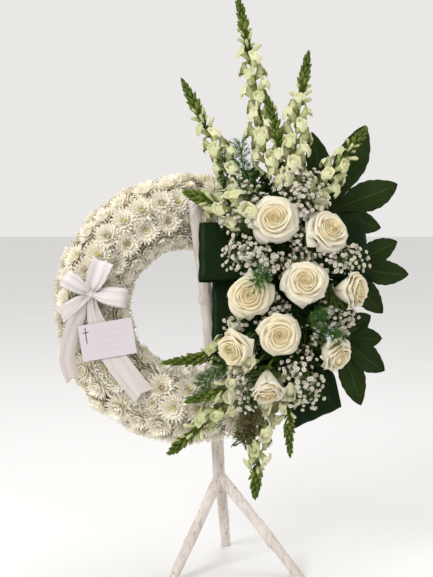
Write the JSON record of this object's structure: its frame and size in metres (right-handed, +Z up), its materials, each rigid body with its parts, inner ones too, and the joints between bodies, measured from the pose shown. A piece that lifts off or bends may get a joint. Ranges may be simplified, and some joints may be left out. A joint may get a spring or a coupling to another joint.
{
  "type": "funeral wreath on a tripod stand",
  "caption": "Ring of chrysanthemums on a branch tripod, with a raised spray of roses, snapdragons and leaves, a ribbon bow and a plain card.",
  "frame": {"origin": "middle of the whole object's footprint, on the floor", "axes": "+Z up, the flowers face -Y, +X to the viewer's right"},
  "size_m": [0.6918, 0.3352, 1.1412],
  "materials": {
    "branch": "white paint, brushed thinly over bark",
    "steel": "zinc-plated wire and screws",
    "foam": "wet floral foam",
    "tray": "moulded dark green plastic",
    "chrysanthemum": "matt petals",
    "rose": "velvety petals",
    "snapdragon": "matt petals and buds",
    "gypsophila": "matt florets",
    "fern": "matt needles",
    "leaf": "waxy leaf",
    "satin": "satin weave",
    "card": "uncoated card"
  },
  "bodies": {
    "root": {"forked_branch": "branch", "leg_right": "branch", "leg_back": "branch", "leg_screw_right": "steel", "leg_screw_back": "steel", "chrysanthemums_upper_left": "chrysanthemum", "chrysanthemums_left_high": "chrysanthemum", "chrysanthemums_left_low": "chrysanthemum", "chrysanthemums_lower_left": "chrysanthemum", "chrysanthemums_foot": "chrysanthemum", "chrysanthemums_upper_right": "chrysanthemum", "chrysanthemums_outer_right": "chrysanthemum", "chrysanthemums_inner_right": "chrysanthemum", "rose_1": "rose", "rose_2": "rose", "rose_3": "rose", "rose_4": "rose", "rose_5": "rose", "rose_6": "rose", "rose_7": "rose", "rose_8": "rose", "rose_9": "rose", "snapdragon_1": "snapdragon", "snapdragon_2": "snapdragon", "snapdragon_3": "snapdragon", "snapdragon_4": "snapdragon", "snapdragon_5": "snapdragon", "snapdragon_6": "snapdragon", "snapdragon_7": "snapdragon", "snapdragon_8": "snapdragon", "snapdragon_9": "snapdragon", "snapdragon_10": "snapdragon", "gypsophila_1": "gypsophila", "gypsophila_2": "gypsophila", "gypsophila_3": "gypsophila", "gypsophila_4": "gypsophila", "gypsophila_5": "gypsophila", "fern_upper": "fern", "fern_middle": "fern", "fern_foot": "fern", "filler_greens": "leaf", "fatsia_upper": "leaf", "fatsia_middle": "leaf", "fatsia_lower": "leaf", "aspidistra_left": "leaf", "aspidistra_inner": "leaf", "aspidistra_right": "leaf", "aspidistra_foot": "leaf", "satin_bow": "satin", "card": "card", "ring_channel": "tray", "ring_foam": "foam", "spray_dish": "tray", "spray_foam": "foam", "strap_upper": "tray", "strap_lower": "tray", "wire_tie_top": "steel", "wire_tie_foot": "steel"}
  },
  "joints": []
}
